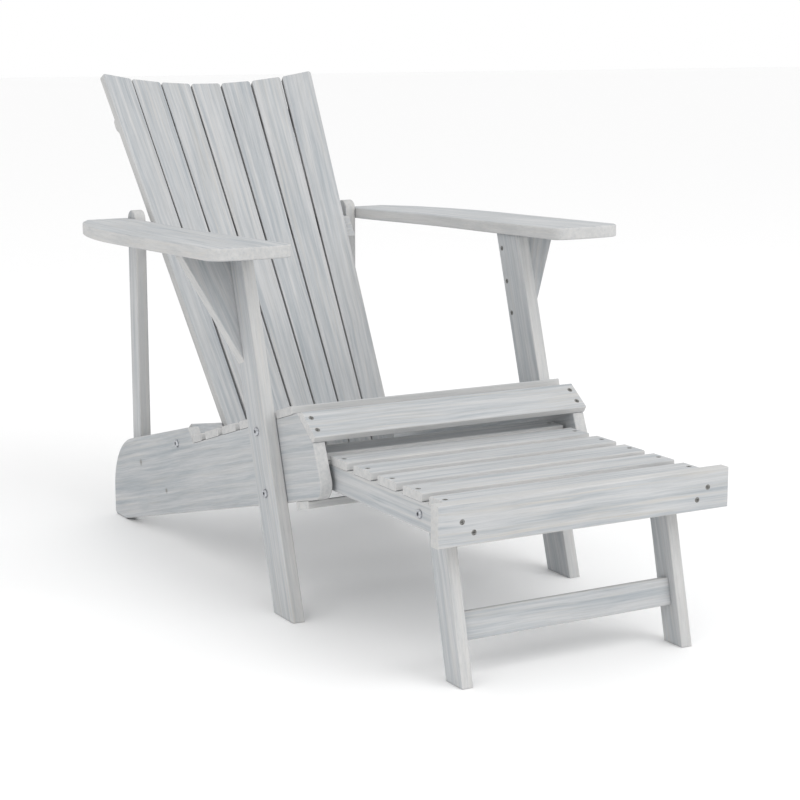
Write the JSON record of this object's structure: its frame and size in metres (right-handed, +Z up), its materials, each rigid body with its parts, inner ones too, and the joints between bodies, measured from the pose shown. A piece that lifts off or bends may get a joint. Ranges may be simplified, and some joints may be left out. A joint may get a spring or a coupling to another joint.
{
  "type": "adirondack chair with slide-out footrest",
  "caption": "Wooden adirondack chair with wide arms, a fanned hollow back and a slatted footrest that slides out from under the seat on a steel rod in grooves.",
  "frame": {"origin": "on the floor under the middle of the chair's overall box with its footrest pulled out", "axes": "+X across the chair, -Y the way the sitter faces, +Z up"},
  "size_m": [0.7494, 1.3189, 0.8203],
  "materials": {
    "whitewashed_wood": "whitewashed, matte, brushed along the grain",
    "dowel_wood": "plain hardwood",
    "zinc_hardware": "bright zinc plated",
    "screw_steel": "dull zinc plated",
    "zinc_rod": "zinc plated"
  },
  "bodies": {
    "chair": {"arm_bracket_left": "whitewashed_wood", "arm_bracket_right": "whitewashed_wood", "arm_dowels": "dowel_wood", "arm_height_brace": "whitewashed_wood", "arm_left": "whitewashed_wood", "arm_right": "whitewashed_wood", "back_rail_bolts": "zinc_hardware", "back_screws": "screw_steel", "back_slat_1": "whitewashed_wood", "back_slat_2": "whitewashed_wood", "back_slat_3": "whitewashed_wood", "back_slat_4": "whitewashed_wood", "back_slat_5": "whitewashed_wood", "back_slat_6": "whitewashed_wood", "back_slat_7": "whitewashed_wood", "batten_screws": "screw_steel", "bracket_screws": "screw_steel", "front_leg_left": "whitewashed_wood", "front_leg_right": "whitewashed_wood", "leg_bolts": "zinc_hardware", "leg_nuts": "zinc_hardware", "lower_back_rail": "whitewashed_wood", "post_dowels": "dowel_wood", "post_screws": "screw_steel", "rear_post_left": "whitewashed_wood", "rear_post_right": "whitewashed_wood", "seat_batten": "whitewashed_wood", "seat_screws": "screw_steel", "seat_slat_1": "whitewashed_wood", "seat_slat_2": "whitewashed_wood", "seat_slat_3": "whitewashed_wood", "seat_slat_4": "whitewashed_wood", "seat_slat_5": "whitewashed_wood", "seat_slat_front": "whitewashed_wood", "seat_slat_rear": "whitewashed_wood", "stringer_left": "whitewashed_wood", "stringer_right": "whitewashed_wood", "upper_back_brace": "whitewashed_wood"},
    "slide_rod": {"slide_rod": "zinc_rod"},
    "footrest": {"apron_screws": "screw_steel", "footrest_apron": "whitewashed_wood", "footrest_block_left": "whitewashed_wood", "footrest_block_right": "whitewashed_wood", "footrest_bolts": "zinc_hardware", "footrest_leg_left": "whitewashed_wood", "footrest_leg_right": "whitewashed_wood", "footrest_nuts": "zinc_hardware", "footrest_rail_left": "whitewashed_wood", "footrest_rail_right": "whitewashed_wood", "footrest_screws": "screw_steel", "footrest_slat_1": "whitewashed_wood", "footrest_slat_2": "whitewashed_wood", "footrest_slat_3": "whitewashed_wood", "footrest_slat_4": "whitewashed_wood", "footrest_slat_5": "whitewashed_wood", "footrest_slat_6": "whitewashed_wood", "footrest_stretcher": "whitewashed_wood", "stretcher_dowels": "dowel_wood"}
  },
  "joints": [
    {"name": "footrest_slide", "type": "slide", "parent": "chair", "child": "slide_rod", "axis": [0, 0.9781, -0.2079], "range_m": [0, 0.28]},
    {"name": "footrest_tilt", "type": "hinge", "parent": "slide_rod", "child": "footrest", "pos_m": [0, -0.20579, 0.234], "axis": [-1, 0, 0], "range_deg": [0, 8.5]}
  ],
  "couplings": [
    {"joint": "footrest_tilt", "follows": "footrest_slide", "rad_per_m": 0.5262}
  ]
}
